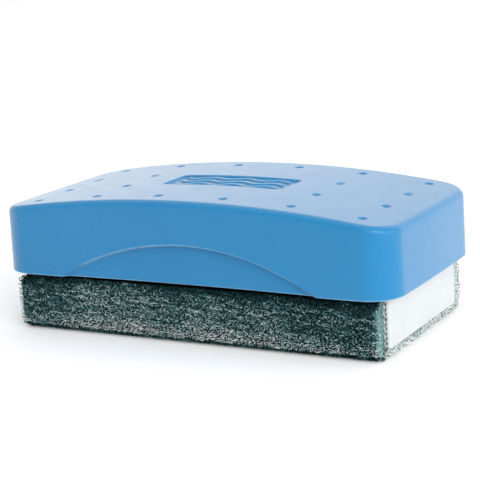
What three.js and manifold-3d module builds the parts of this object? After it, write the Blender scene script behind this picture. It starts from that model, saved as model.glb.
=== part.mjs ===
// Magnetic glass cleaner: the half of the pair that carries the fleece pad.
// A blue moulded cover is screwed to a white tray. The tray holds ferrite magnets under a steel
// yoke plate. A fleece pad wraps the tray's underside and long sides, and hook tape holds it on.
//
// Millimetres, +Z up. X runs along the length and Y across the width. The origin is the centre of
// the pad's working face, which lies on the glass at z = 0.

import * as THREE from "three";
import * as BufferGeometryUtils from "three/addons/utils/BufferGeometryUtils.js";
import Module from "manifold-3d";

const wasm = await Module();
wasm.setup();

// ---------------------------------------------------------------- driving dimensions

const GAP = 0.3; // clearance between pieces that touch on the real object

const COVER = {
  length: 115,
  width: 56.5,
  rim: 15.4, // height of the lower edge
  crown: 37.4, // height of the top at mid length
  sag: 4.7, // how much lower the top is at the two ends
  cornerRadius: 8.5,
  endRadius: 700, // plan radius of the slightly bowed end walls
  edgeRadius: 1.5, // rounding of the top edges at the two ends
  sideEdgeRadius: 1.3, // rounding of the top edges along the two sides
  wall: 2,
  roof: 2.4,
  step: 1.2, // the wall is this much thicker above the gasket
};

const SCOOP = { span: 74, height: 10.6, depth: 2.1, fade: 0.9 }; // finger grips in the long walls
const DIMPLE = { columns: 6, rows: 4, pitchX: 18.95, pitchY: 14.4, radius: 1.94, depth: 0.5 };
const EMBLEM = { length: 36, width: 13, depth: 0.7, waves: 3, waveHeight: 0.5 };

const PAD = { under: 2.2, halfWidth: 27.9, length: 106, top: 15, edgeRadius: 4.5 };
const TRAY = { length: 107.6, width: 44, wall: 2.2, floor: 2.2, flange: 3.2 };
const TAPE = { length: 95.4, thickness: 0.5, recess: 0.8, bottomWidth: 33.4, sideWidth: 10.2 };
const MAGNET = { columns: 3, rows: 2, height: 10, divider: 1.2 };
const YOKE = { thickness: 3, cornerRadius: 2 };
const GASKET_THICKNESS = 1;
const FOAM = { length: 47, width: 34, height: 10.4 };
const RIB = { thickness: 1.6, spacing: 28.4 };
const SCREW = { x: 47, y: 24, shank: 0.8, head: 1.4, headHeight: 1.1, length: 11.9, boss: 2.4 };

// ---------------------------------------------------------------- derived levels

const trayBottom = PAD.under + GAP;
const flangeBottom = COVER.rim + 0.4;
const flangeTop = flangeBottom + TRAY.flange;
const gasketBottom = flangeTop + GAP;
const ledge = gasketBottom + GASKET_THICKNESS + GAP; // where the cover's wall steps inwards
const cavityFloor = trayBottom + TRAY.floor;
const cavityLength = TRAY.length - 2 * TRAY.wall;
const cavityWidth = TRAY.width - 2 * TRAY.wall;
const magnetBottom = cavityFloor + GAP;
const yokeBottom = magnetBottom + MAGNET.height + GAP;
const foamBottom = yokeBottom + YOKE.thickness + GAP;
const foamTop = foamBottom + FOAM.height;
const ABOVE = COVER.crown + 10; // a height clear above everything, where cutters end

// ---------------------------------------------------------------- shapes and solids

// Merging vertices can fold a very thin triangle into a line; such a triangle is left out.
function withoutSlivers(index) {
  const kept = [];
  for (let i = 0; i < index.length; i += 3) {
    const [a, b, c] = index.slice(i, i + 3);
    if (a !== b && b !== c && c !== a) kept.push(a, b, c);
  }
  return new Uint32Array(kept);
}

function toSolid(geometry) {
  geometry.deleteAttribute("normal");
  geometry.deleteAttribute("uv");
  const merged = BufferGeometryUtils.mergeVertices(geometry, 1e-4);
  const vertProperties = new Float32Array(merged.attributes.position.array);
  const triVerts = withoutSlivers(merged.index.array);
  return new wasm.Manifold(new wasm.Mesh({ numProp: 3, vertProperties, triVerts }));
}

function toGeometry(solid) {
  const { vertProperties, triVerts } = solid.getMesh();
  const geometry = new THREE.BufferGeometry();
  geometry.setAttribute("position", new THREE.BufferAttribute(vertProperties, 3));
  geometry.setIndex(new THREE.BufferAttribute(triVerts, 1));
  geometry.computeVertexNormals();
  return geometry;
}

function prism(shape, depth, curveSegments = 8) {
  return new THREE.ExtrudeGeometry(shape, { depth, curveSegments, bevelEnabled: false });
}

// A plan shape (x, y) raised from one height to another.
function upright(shape, low, high, curveSegments) {
  return toSolid(prism(shape, high - low, curveSegments).translate(0, 0, low));
}

// A side-view shape (x, z) extended across the width, centred on y.
function across(shape, width, centre = 0, curveSegments = 8) {
  const geometry = prism(shape, width, curveSegments).translate(0, 0, -width / 2);
  return toSolid(geometry.rotateX(Math.PI / 2).translate(0, centre, 0));
}

// An end-view shape (y, z) extended along the length.
function along(shape, length, curveSegments = 8) {
  const geometry = prism(shape, length, curveSegments).translate(0, 0, -length / 2);
  const turn = new THREE.Matrix4().makeBasis(
    new THREE.Vector3(0, 1, 0),
    new THREE.Vector3(0, 0, 1),
    new THREE.Vector3(1, 0, 0),
  );
  return toSolid(geometry.applyMatrix4(turn));
}

function block(length, width, low, high, x = 0, y = 0) {
  const geometry = new THREE.BoxGeometry(length, width, high - low);
  return toSolid(geometry.translate(x, y, (low + high) / 2));
}

function peg(radius, low, high, x, y, sides = 20) {
  const geometry = new THREE.CylinderGeometry(radius, radius, high - low, sides);
  return toSolid(geometry.rotateX(Math.PI / 2).translate(x, y, (low + high) / 2));
}

function roundedRectangle(length, width, radius) {
  const x = length / 2 - radius;
  const y = width / 2 - radius;
  const shape = new THREE.Shape();
  shape.absarc(x, y, radius, 0, Math.PI / 2);
  shape.absarc(-x, y, radius, Math.PI / 2, Math.PI);
  shape.absarc(-x, -y, radius, Math.PI, 1.5 * Math.PI);
  shape.absarc(x, -y, radius, 1.5 * Math.PI, 2 * Math.PI);
  return shape;
}

function piece(name, geometry, color, roughness, metalness = 0) {
  const mesh = new THREE.Mesh(geometry, new THREE.MeshStandardMaterial({ color, roughness, metalness }));
  mesh.name = name;
  return mesh;
}

const CORNERS = [
  [1, 1],
  [-1, 1],
  [-1, -1],
  [1, -1],
];

// ---------------------------------------------------------------- outline of the cover

// The plan outline moved inwards by inset: bowed ends, round corners and straight long sides.
// overhang pushes only the straight sides outwards, which makes a trimmer for corners and ends.
function planOutline(inset, overhang = 0) {
  const endCentre = COVER.length / 2 - COVER.endRadius;
  const cornerY = COVER.width / 2 - COVER.cornerRadius;
  const cornerX = endCentre + Math.sqrt((COVER.endRadius - COVER.cornerRadius) ** 2 - cornerY ** 2);
  const sweep = Math.atan2(cornerY, cornerX - endCentre);
  const endArc = COVER.endRadius - inset;
  const cornerArc = COVER.cornerRadius - inset;
  const side = COVER.width / 2 - inset + overhang;
  const shape = new THREE.Shape();
  shape.absarc(endCentre, 0, endArc, -sweep, sweep);
  shape.absarc(cornerX, cornerY, cornerArc, sweep, Math.PI / 2);
  shape.lineTo(cornerX, side);
  shape.lineTo(-cornerX, side);
  shape.absarc(-cornerX, cornerY, cornerArc, Math.PI / 2, Math.PI - sweep);
  shape.absarc(-endCentre, 0, endArc, Math.PI - sweep, Math.PI + sweep);
  shape.absarc(-cornerX, -cornerY, cornerArc, Math.PI + sweep, 1.5 * Math.PI);
  shape.lineTo(-cornerX, -side);
  shape.lineTo(cornerX, -side);
  shape.absarc(cornerX, -cornerY, cornerArc, 1.5 * Math.PI, 2 * Math.PI - sweep);
  return shape;
}

// The height of the crowned top at x.
const halfLength = COVER.length / 2;
const crownRadius = (halfLength ** 2 + COVER.sag ** 2) / (2 * COVER.sag);
const crownCentre = COVER.crown - crownRadius;
const crownAt = (x) => crownCentre + Math.sqrt(crownRadius ** 2 - x ** 2);

// The side view of the crowned body, lowered by drop, with its base at base.
function crownProfile(base, drop, edgeRadius) {
  const radius = crownRadius - drop;
  const reach = halfLength - edgeRadius;
  const edgeHeight = crownCentre + Math.sqrt((radius - edgeRadius) ** 2 - reach ** 2);
  const tilt = Math.atan2(edgeHeight - crownCentre, reach);
  const shape = new THREE.Shape();
  shape.moveTo(-halfLength, base);
  shape.lineTo(halfLength, base);
  shape.absarc(reach, edgeHeight, edgeRadius, 0, tilt);
  shape.absarc(0, crownCentre, radius, tilt, Math.PI - tilt);
  shape.absarc(-reach, edgeHeight, edgeRadius, Math.PI - tilt, Math.PI);
  return shape;
}

// One finger grip: an arch in the side view, with a floor that is deepest at mid length.
// growth swells it, for the wall behind the grip and for the pieces that stay clear of that wall.
function scoop(side, growth) {
  const halfSpan = SCOOP.span / 2;
  const archRadius = (halfSpan ** 2 + SCOOP.height ** 2) / (2 * SCOOP.height) + growth;
  const archCentre = COVER.rim + SCOOP.height + growth - archRadius;
  const low = COVER.rim - 1;
  const foot = Math.acos((low - archCentre) / archRadius);
  const arch = new THREE.Shape();
  arch.absarc(0, archCentre, archRadius, Math.PI / 2 - foot, Math.PI / 2 + foot);
  const floorRadius = halfSpan ** 2 / (2 * SCOOP.fade);
  const floorMiddle = COVER.width / 2 - SCOOP.depth - growth;
  const turn = Math.asin((halfSpan + 4) / floorRadius);
  const plan = new THREE.Shape();
  plan.absarc(0, floorMiddle + floorRadius, floorRadius, -Math.PI / 2 - turn, -Math.PI / 2 + turn);
  plan.lineTo(halfSpan + 4, COVER.width / 2 + 1);
  plan.lineTo(-halfSpan - 4, COVER.width / 2 + 1);
  const cutter = across(arch, COVER.width + 4, 0, 28).intersect(upright(plan, low - 1, ABOVE));
  return side > 0 ? cutter : cutter.rotate([0, 0, 180]);
}

const bothScoops = (growth) => scoop(1, growth).add(scoop(-1, growth));

// ---------------------------------------------------------------- cover

function coverCavity() {
  const lower = upright(planOutline(COVER.wall), COVER.rim - 2, ledge);
  const upper = upright(planOutline(COVER.wall + COVER.step), ledge - 0.5, ABOVE);
  const roof = across(crownProfile(COVER.rim - 3, COVER.roof, 0.5), COVER.width + 4, 0, 24);
  let cavity = lower.add(upper).intersect(roof).subtract(bothScoops(COVER.wall));
  const ribBottom = foamTop + GAP;
  for (const column of [-1, 0, 1]) {
    const x = column * RIB.spacing;
    cavity = cavity.subtract(block(RIB.thickness, COVER.width, ribBottom, ABOVE, x));
  }
  cavity = cavity.subtract(block(COVER.length, RIB.thickness, ribBottom, ABOVE));
  for (const [i, j] of CORNERS) {
    cavity = cavity.subtract(peg(SCREW.boss, ledge, ABOVE, i * SCREW.x, j * SCREW.y));
  }
  return cavity;
}

// Small round dimples on a grid. The four places under the emblem stay plain.
function dimples() {
  const places = [];
  for (let column = 0; column < DIMPLE.columns; column++) {
    for (let row = 0; row < DIMPLE.rows; row++) {
      const x = (column - (DIMPLE.columns - 1) / 2) * DIMPLE.pitchX;
      const y = (row - (DIMPLE.rows - 1) / 2) * DIMPLE.pitchY;
      const underEmblem = Math.abs(x) < EMBLEM.length / 2 && Math.abs(y) < EMBLEM.width;
      if (!underEmblem) places.push([x, y]);
    }
  }
  return places.map(([x, y]) => {
    const ball = new THREE.SphereGeometry(DIMPLE.radius, 12, 10);
    return toSolid(ball.translate(x, y, crownAt(x) + DIMPLE.radius - DIMPLE.depth));
  });
}

// A shallow rectangular recess that keeps raised wave lines, a plain water motif.
function emblemRecess() {
  const floor = COVER.crown - EMBLEM.depth - 0.5;
  let recess = upright(roundedRectangle(EMBLEM.length, EMBLEM.width, 1.5), floor, ABOVE, 3);
  const pitch = EMBLEM.width / (EMBLEM.waves + 0.5);
  for (let line = 0; line < EMBLEM.waves; line++) {
    const y = (line - (EMBLEM.waves - 1) / 2) * pitch;
    const wave = new THREE.Shape();
    const stations = Array.from({ length: 25 }, (_, i) => (i / 24 - 0.5) * (EMBLEM.length - 6));
    const swing = (x) => y + 0.9 * Math.sin((x / (EMBLEM.length - 6)) * 6 * Math.PI);
    wave.setFromPoints([
      ...stations.map((x) => new THREE.Vector2(x, swing(x) - 0.6)),
      ...stations.toReversed().map((x) => new THREE.Vector2(x, swing(x) + 0.6)),
    ]);
    recess = recess.subtract(upright(wave, floor - 1, floor + EMBLEM.waveHeight));
  }
  return recess;
}

function coverShell() {
  const shape = crownProfile(COVER.rim - 4, 0, COVER.edgeRadius);
  const edge = COVER.sideEdgeRadius;
  const body = new THREE.ExtrudeGeometry(shape, {
    depth: COVER.width - 2 * edge,
    curveSegments: 16,
    bevelThickness: edge,
    bevelSize: edge,
    bevelOffset: -edge,
    bevelSegments: 3,
  });
  body.translate(0, 0, edge - COVER.width / 2).rotateX(Math.PI / 2);
  let cover = toSolid(body).intersect(upright(planOutline(0, 1), COVER.rim, ABOVE));
  cover = cover.subtract(bothScoops(0)).subtract(coverCavity());
  for (const dimple of dimples()) {
    cover = cover.subtract(dimple);
  }
  cover = cover.subtract(emblemRecess());
  for (const [i, j] of CORNERS) {
    const top = ledge + SCREW.length - TRAY.flange;
    cover = cover.subtract(peg(SCREW.shank + GAP, ledge - 1, top, i * SCREW.x, j * SCREW.y, 16));
  }
  return piece("cover_shell", toGeometry(cover), 0x3789c2, 0.35);
}

// ---------------------------------------------------------------- tray and what it holds

const bayLength = (cavityLength - (MAGNET.columns - 1) * MAGNET.divider) / MAGNET.columns;
const bayWidth = (cavityWidth - (MAGNET.rows - 1) * MAGNET.divider) / MAGNET.rows;

// The bays between the tray's dividers, as centres in x and y.
function bays() {
  const centres = [];
  for (let row = 0; row < MAGNET.rows; row++) {
    for (let column = 0; column < MAGNET.columns; column++) {
      const x = (column - (MAGNET.columns - 1) / 2) * (bayLength + MAGNET.divider);
      const y = (row - (MAGNET.rows - 1) / 2) * (bayWidth + MAGNET.divider);
      centres.push([x, y]);
    }
  }
  return centres;
}

function tapeRecesses() {
  const length = TAPE.length + 2 * GAP;
  const bottomWidth = TAPE.bottomWidth + 2 * GAP;
  const middle = sideTapeMiddle();
  const reach = TAPE.sideWidth / 2 + GAP;
  const face = TRAY.width / 2;
  let recesses = block(length, bottomWidth, trayBottom - 1, trayBottom + TAPE.recess);
  for (const side of [-1, 1]) {
    const y = side * (face - TAPE.recess + 1);
    recesses = recesses.add(block(length, 2, middle - reach, middle + reach, 0, y));
  }
  return recesses;
}

function sideTapeMiddle() {
  return (trayBottom + flangeBottom) / 2 + 0.5;
}

function magnetTray() {
  let tray = upright(roundedRectangle(TRAY.length, TRAY.width, 1), trayBottom, flangeTop, 3);
  tray = tray.add(upright(planOutline(COVER.wall + GAP), flangeBottom, flangeTop));
  tray = tray.subtract(bothScoops(COVER.wall + GAP));
  const dividerTop = magnetBottom + MAGNET.height - 1;
  tray = tray.subtract(block(cavityLength, cavityWidth, dividerTop, ABOVE));
  for (const [x, y] of bays()) {
    tray = tray.subtract(block(bayLength, bayWidth, cavityFloor, ABOVE, x, y));
  }
  tray = tray.subtract(tapeRecesses());
  for (const [i, j] of CORNERS) {
    const seat = flangeBottom + SCREW.headHeight + 2 * GAP;
    const [x, y] = [i * SCREW.x, j * SCREW.y];
    tray = tray.subtract(peg(SCREW.head + GAP, flangeBottom - 1, seat, x, y));
    tray = tray.subtract(peg(SCREW.shank + GAP, flangeBottom - 1, ABOVE, x, y, 16));
  }
  return piece("magnet_tray", toGeometry(tray), 0xf0f0ee, 0.4);
}

function magnets() {
  const length = bayLength - 2 * GAP;
  const width = bayWidth - 2 * GAP;
  return bays().map(([x, y], i) => {
    const magnet = upright(roundedRectangle(length, width, 0.6), 0, MAGNET.height, 2);
    const mesh = piece(`magnet_${i + 1}`, toGeometry(magnet), 0x34363a, 0.6, 0.3);
    mesh.position.set(x, y, magnetBottom);
    return mesh;
  });
}

function yokePlate() {
  const outline = roundedRectangle(cavityLength - 2 * GAP, cavityWidth - 2 * GAP, YOKE.cornerRadius);
  const geometry = prism(outline, YOKE.thickness, 4);
  const mesh = piece("yoke_plate", geometry, 0xb4b8bc, 0.35, 0.9);
  mesh.position.z = yokeBottom;
  return mesh;
}

function foamSpacers() {
  return [-1, 1].map((side) => {
    const geometry = prism(roundedRectangle(FOAM.length, FOAM.width, 1), FOAM.height, 2);
    const mesh = piece(side < 0 ? "foam_spacer_left" : "foam_spacer_right", geometry, 0x4a4d50, 0.95);
    mesh.position.set(side * (FOAM.length / 2 + 1.5), 0, foamBottom);
    return mesh;
  });
}

function gasket() {
  const top = gasketBottom + GASKET_THICKNESS;
  let ring = upright(planOutline(COVER.wall + GAP), gasketBottom, top);
  ring = ring.subtract(block(cavityLength, cavityWidth, gasketBottom - 1, top + 1));
  ring = ring.subtract(bothScoops(COVER.wall + GAP));
  for (const [i, j] of CORNERS) {
    const hole = peg(SCREW.shank + GAP, gasketBottom - 1, top + 1, i * SCREW.x, j * SCREW.y, 16);
    ring = ring.subtract(hole);
  }
  return piece("gasket", toGeometry(ring), 0x24262a, 0.8);
}

// A pan-head screw, head down, with a cross recess in the head.
function coverScrew() {
  const { shank, head, headHeight, length } = SCREW;
  const rim = 0.4;
  const profile = [
    [0, 0],
    [head - rim, 0],
    [head, rim],
    [head, headHeight],
    [shank, headHeight],
    [shank, length - 1.5],
    [0, length],
  ].map(([r, y]) => new THREE.Vector2(r, y));
  const body = toSolid(new THREE.LatheGeometry(profile, 20).rotateX(Math.PI / 2));
  const slot = block(1.6, 0.4, -1, 0.6).add(block(0.4, 1.6, -1, 0.6));
  return toGeometry(body.subtract(slot));
}

function coverScrews() {
  return CORNERS.map(([i, j], k) => {
    const mesh = piece(`cover_screw_${k + 1}`, coverScrew(), 0xc8cacc, 0.3, 0.9);
    mesh.position.set(i * SCREW.x, j * SCREW.y, flangeBottom + GAP);
    return mesh;
  });
}

// ---------------------------------------------------------------- hook tape and pad

function hookTapes() {
  const bottom = new THREE.BoxGeometry(TAPE.length, TAPE.bottomWidth, TAPE.thickness);
  const meshes = [piece("hook_tape_bottom", bottom, 0xdcdcd8, 0.8)];
  meshes[0].position.z = trayBottom + TAPE.thickness / 2;
  for (const side of [-1, 1]) {
    const strip = new THREE.BoxGeometry(TAPE.length, TAPE.thickness, TAPE.sideWidth);
    const mesh = piece(side < 0 ? "hook_tape_front" : "hook_tape_rear", strip, 0xdcdcd8, 0.8);
    mesh.position.set(0, side * (TRAY.width / 2 - TAPE.thickness / 2), sideTapeMiddle());
    meshes.push(mesh);
  }
  return meshes;
}

// A channel of fleece: thick up both sides, pressed thinner underneath.
function fleecePad() {
  const { under, halfWidth, length, top, edgeRadius } = PAD;
  const inner = TRAY.width / 2 + GAP;
  const lip = 1.6; // rounding of the outer top edges
  const quarter = Math.PI / 2;
  const shape = new THREE.Shape();
  shape.absarc(halfWidth - edgeRadius, edgeRadius, edgeRadius, -quarter, 0);
  shape.absarc(halfWidth - lip, top - lip, lip, 0, quarter);
  shape.lineTo(inner, top);
  shape.lineTo(inner, under);
  shape.lineTo(-inner, under);
  shape.lineTo(-inner, top);
  shape.absarc(lip - halfWidth, top - lip, lip, quarter, 2 * quarter);
  shape.absarc(edgeRadius - halfWidth, edgeRadius, edgeRadius, 2 * quarter, 3 * quarter);
  return piece("fleece_pad", toGeometry(along(shape, length, 5)), 0x6f8688, 1);
}

// ---------------------------------------------------------------- assembly

const cleaner = new THREE.Group();
cleaner.name = "magnetic_glass_cleaner";
cleaner.add(coverShell(), magnetTray(), ...magnets(), yokePlate(), ...foamSpacers());
cleaner.add(gasket(), ...coverScrews(), ...hookTapes(), fleecePad());

export default cleaner;
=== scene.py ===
# Looks for the magnetic glass cleaner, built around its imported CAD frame. Metres, +Z up.

import math

import bpy
import numpy as np
from mathutils import Matrix, Vector


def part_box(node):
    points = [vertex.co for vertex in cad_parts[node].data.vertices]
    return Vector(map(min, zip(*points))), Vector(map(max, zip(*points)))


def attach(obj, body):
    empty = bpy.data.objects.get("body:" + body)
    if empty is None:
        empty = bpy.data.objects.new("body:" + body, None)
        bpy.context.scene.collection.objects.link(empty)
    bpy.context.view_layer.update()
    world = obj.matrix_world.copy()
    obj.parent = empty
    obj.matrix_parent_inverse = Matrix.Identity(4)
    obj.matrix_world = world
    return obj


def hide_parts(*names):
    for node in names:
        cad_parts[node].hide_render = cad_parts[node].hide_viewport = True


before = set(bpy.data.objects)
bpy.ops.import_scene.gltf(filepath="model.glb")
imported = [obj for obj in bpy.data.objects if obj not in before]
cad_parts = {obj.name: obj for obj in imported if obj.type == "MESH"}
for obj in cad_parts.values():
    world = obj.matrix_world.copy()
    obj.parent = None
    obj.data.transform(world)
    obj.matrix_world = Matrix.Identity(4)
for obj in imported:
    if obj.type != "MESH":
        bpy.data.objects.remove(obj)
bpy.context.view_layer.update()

MM = 0.001
rng = np.random.default_rng(7)

# ------------------------------------------------------------------ dimensions

cover_low, cover_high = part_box("cover_shell")
pad_low, pad_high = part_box("fleece_pad")

HALF_LENGTH = cover_high.x
HALF_WIDTH = cover_high.y
RIM = cover_low.z  # height of the cover's lower edge
CROWN = cover_high.z
SAG = 4.7 * MM  # how much lower the top is at its ends
CORNER = 8.5 * MM  # plan radius of the cover's corners
END_BOW = 700 * MM  # plan radius of its end walls
DRAFT = 0.2 * MM  # the walls lean in by this much at the top
EDGE = 1.6 * MM  # rounding of the top edges
LIP = 0.45 * MM  # rounding of the lower edge
WALL = 2 * MM

SCOOP_HALF_SPAN = 37 * MM
SCOOP_HEIGHT = 10.6 * MM
SCOOP_DEPTH = 2.1 * MM  # at mid length
SCOOP_FADE = 0.9 * MM  # how much shallower it is at its feet

DIMPLE_PITCH = (18.95 * MM, 14.4 * MM)
DIMPLE_GRID = (6, 4)
DIMPLE_RADIUS = 1.3 * MM
DIMPLE_DEPTH = 0.5 * MM

EMBLEM_LENGTH = 36 * MM
EMBLEM_WIDTH = 13 * MM
EMBLEM_DEPTH = 0.7 * MM
EMBLEM_CORNER = 1.5 * MM
WAVE_LINES = 3
WAVE_HEIGHT = 0.5 * MM
WAVE_SWING = 0.9 * MM
WAVES_PER_LINE = 3
WAVE_HALF_WIDTH = 0.85 * MM

# ------------------------------------------------------------------ small helpers


def smoothstep(t):
    t = np.clip(t, 0, 1)
    return t * t * (3 - 2 * t)


def new_mesh(name, points, faces, smooth=True):
    mesh = bpy.data.meshes.new(name)
    mesh.from_pydata([tuple(p) for p in points], [], [tuple(int(i) for i in f) for f in faces])
    mesh.update()
    mesh.polygons.foreach_set("use_smooth", [smooth] * len(mesh.polygons))
    piece = bpy.data.objects.new(name, mesh)
    bpy.context.scene.collection.objects.link(piece)
    return piece


def add_attribute(piece, name, values):
    attribute = piece.data.attributes.new(name, "FLOAT", "POINT")
    attribute.data.foreach_set("value", np.asarray(values, np.float32))


def finish_piece(piece, body, material, replaces=()):
    piece.data.materials.clear()
    piece.data.materials.append(material)
    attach(piece, body)
    if replaces:
        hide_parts(*replaces)
    return piece


# ------------------------------------------------------------------ node materials


class Nodes:
    """A material's node tree with short ways to add and link nodes."""

    def __init__(self, name):
        self.material = bpy.data.materials.new(name)
        self.material.use_nodes = True
        self.tree = self.material.node_tree
        self.shader = self.tree.nodes["Principled BSDF"]
        self.place = self.add("ShaderNodeTexCoord").outputs["Object"]

    def add(self, kind, **settings):
        node = self.tree.nodes.new(kind)
        for key, value in settings.items():
            setattr(node, key, value)
        return node

    def link(self, source, target):
        self.tree.links.new(source, target)

    def fill(self, socket, value):
        if isinstance(value, bpy.types.NodeSocket):
            self.link(value, socket)
        else:
            socket.default_value = value

    def noise(self, per_metre, detail=3.0, roughness=0.55, stretch=(1, 1, 1)):
        mapping = self.add("ShaderNodeMapping")
        mapping.inputs["Scale"].default_value = stretch
        self.link(self.place, mapping.inputs["Vector"])
        node = self.add("ShaderNodeTexNoise")
        node.inputs["Scale"].default_value = per_metre
        node.inputs["Detail"].default_value = detail
        node.inputs["Roughness"].default_value = roughness
        self.link(mapping.outputs["Vector"], node.inputs["Vector"])
        return node.outputs["Fac"]

    def spread(self, value, low, high, to_low=0.0, to_high=1.0):
        node = self.add("ShaderNodeMapRange")
        node.inputs["From Min"].default_value = low
        node.inputs["From Max"].default_value = high
        node.inputs["To Min"].default_value = to_low
        node.inputs["To Max"].default_value = to_high
        self.link(value, node.inputs["Value"])
        return node.outputs["Result"]

    def math(self, operation, a, b):
        node = self.add("ShaderNodeMath", operation=operation)
        self.fill(node.inputs[0], a)
        self.fill(node.inputs[1], b)
        return node.outputs[0]

    def mix(self, factor, a, b, blend="MIX"):
        node = self.add("ShaderNodeMix", data_type="RGBA", blend_type=blend)
        self.fill(node.inputs[0], factor)
        self.fill(node.inputs[6], a)
        self.fill(node.inputs[7], b)
        return node.outputs[2]

    def ramp(self, value, stops):
        node = self.add("ShaderNodeValToRGB")
        elements = node.color_ramp.elements
        while len(elements) < len(stops):
            elements.new(0.5)
        for element, (position, colour) in zip(elements, stops):
            element.position = position
            element.color = colour
        self.link(value, node.inputs["Fac"])
        return node.outputs["Color"]

    def bump(self, height, strength, distance):
        node = self.add("ShaderNodeBump")
        node.inputs["Strength"].default_value = strength
        node.inputs["Distance"].default_value = distance
        self.link(height, node.inputs["Height"])
        self.link(node.outputs["Normal"], self.shader.inputs["Normal"])

    def attribute(self, name):
        return self.add("ShaderNodeAttribute", attribute_name=name).outputs["Fac"]


def rgb(r, g, b):
    return (r, g, b, 1.0)


def cover_material():
    n = Nodes("cover_plastic")
    broad = n.spread(n.noise(28, 4), 0.3, 0.7)
    colour = n.mix(broad, rgb(0.004, 0.167, 0.376), rgb(0.007, 0.184, 0.404))
    specks = n.spread(n.noise(900, 1.0, 0.4), 0.80, 0.84)
    colour = n.mix(n.math("MULTIPLY", specks, 0.5), colour, rgb(0.010, 0.09, 0.22))
    # painted highlight: a pale blue band along the scoop's arch edge and along the lower lip, broken up by
    # noise
    edge_highlight_mix = n.math("MULTIPLY", n.attribute("painted_edge_highlight"), n.spread(n.noise(300, 3), 0.3, 0.7, 0.35, 0.75))
    colour = n.mix(edge_highlight_mix, colour, rgb(0.30, 0.58, 0.80))
    n.link(colour, n.shader.inputs["Base Color"])
    rough = n.spread(n.noise(160, 5, 0.6), 0.3, 0.7, 0.20, 0.29)
    n.link(rough, n.shader.inputs["Roughness"])
    n.shader.inputs["IOR"].default_value = 1.36
    n.shader.inputs["Sheen Weight"].default_value = 0.3
    n.shader.inputs["Sheen Roughness"].default_value = 0.5
    n.bump(n.noise(1400, 3, 0.6), 0.12, 0.05 * MM)
    return n.material


def tray_material():
    n = Nodes("tray_plastic")
    broad = n.spread(n.noise(60, 4), 0.3, 0.7)
    colour = n.mix(broad, rgb(0.54, 0.56, 0.565), rgb(0.58, 0.60, 0.605))
    scuffs = n.spread(n.noise(500, 6, 0.75, (1, 1, 4)), 0.66, 0.74, 0.0, 0.2)
    colour = n.mix(scuffs, colour, rgb(0.55, 0.56, 0.56))
    n.link(colour, n.shader.inputs["Base Color"])
    n.link(n.spread(n.noise(220, 4), 0.3, 0.7, 0.34, 0.48), n.shader.inputs["Roughness"])
    n.shader.inputs["IOR"].default_value = 1.48
    n.bump(n.noise(1800, 3, 0.6), 0.15, 0.05 * MM)
    return n.material


def metal_material(name, colour_a, colour_b, rough, stretch):
    n = Nodes(name)
    grain = n.spread(n.noise(700, 5, 0.6, stretch), 0.3, 0.7)
    n.link(n.mix(grain, colour_a, colour_b), n.shader.inputs["Base Color"])
    n.shader.inputs["Metallic"].default_value = 1.0
    n.link(n.spread(grain, 0, 1, rough - 0.08, rough + 0.08), n.shader.inputs["Roughness"])
    n.bump(n.noise(2600, 4, 0.6, stretch), 0.15, 0.03 * MM)
    return n.material


def ferrite_material():
    n = Nodes("ferrite")
    grain = n.noise(2500, 6, 0.7)
    colour = n.mix(n.spread(grain, 0.35, 0.65), rgb(0.02, 0.021, 0.024), rgb(0.06, 0.062, 0.066))
    n.link(colour, n.shader.inputs["Base Color"])
    n.link(n.spread(n.noise(400, 4), 0.3, 0.7, 0.45, 0.7), n.shader.inputs["Roughness"])
    n.bump(grain, 0.4, 0.1 * MM)
    return n.material


def rubber_material(name, colour_a, colour_b, pores):
    n = Nodes(name)
    cells = n.add("ShaderNodeTexVoronoi")
    cells.inputs["Scale"].default_value = pores
    n.link(n.place, cells.inputs["Vector"])
    distance = cells.outputs["Distance"]
    n.link(n.mix(n.spread(distance, 0.1, 0.7), colour_a, colour_b), n.shader.inputs["Base Color"])
    n.link(n.spread(n.noise(300, 3), 0.3, 0.7, 0.75, 0.95), n.shader.inputs["Roughness"])
    n.bump(distance, 0.5, 0.15 * MM)
    return n.material


def pile_material():
    """Fleece fibres: each tuft has its own tone, and painted shade darkens it towards its root."""
    n = Nodes("fleece_pile")
    tone = n.attribute("tone")
    tip = n.attribute("tip")
    patches = n.spread(n.noise(90, 4, 0.6), 0.3, 0.7, -0.12, 0.12)
    value = n.math("ADD", tone, patches)
    colour = n.ramp(value, [
        (0.0, rgb(0.008, 0.042, 0.047)),
        (0.35, rgb(0.090, 0.250, 0.263)),
        (0.65, rgb(0.400, 0.590, 0.585)),
        (1.0, rgb(0.880, 0.920, 0.900)),
    ])
    # painted shade: the tip attribute darkens each tuft towards its root, down to 3% at the root
    depth = n.spread(tip, 0.0, 0.9, 0.03, 1.0)
    shade = n.add("ShaderNodeCombineColor")
    for socket in shade.inputs[:3]:
        n.link(depth, socket)
    n.link(n.mix(1.0, colour, shade.outputs[0], "MULTIPLY"), n.shader.inputs["Base Color"])
    n.link(n.spread(n.noise(1500, 2), 0.3, 0.7, 0.75, 0.95), n.shader.inputs["Roughness"])
    n.shader.inputs["Specular IOR Level"].default_value = 0.1
    return n.material


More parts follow.
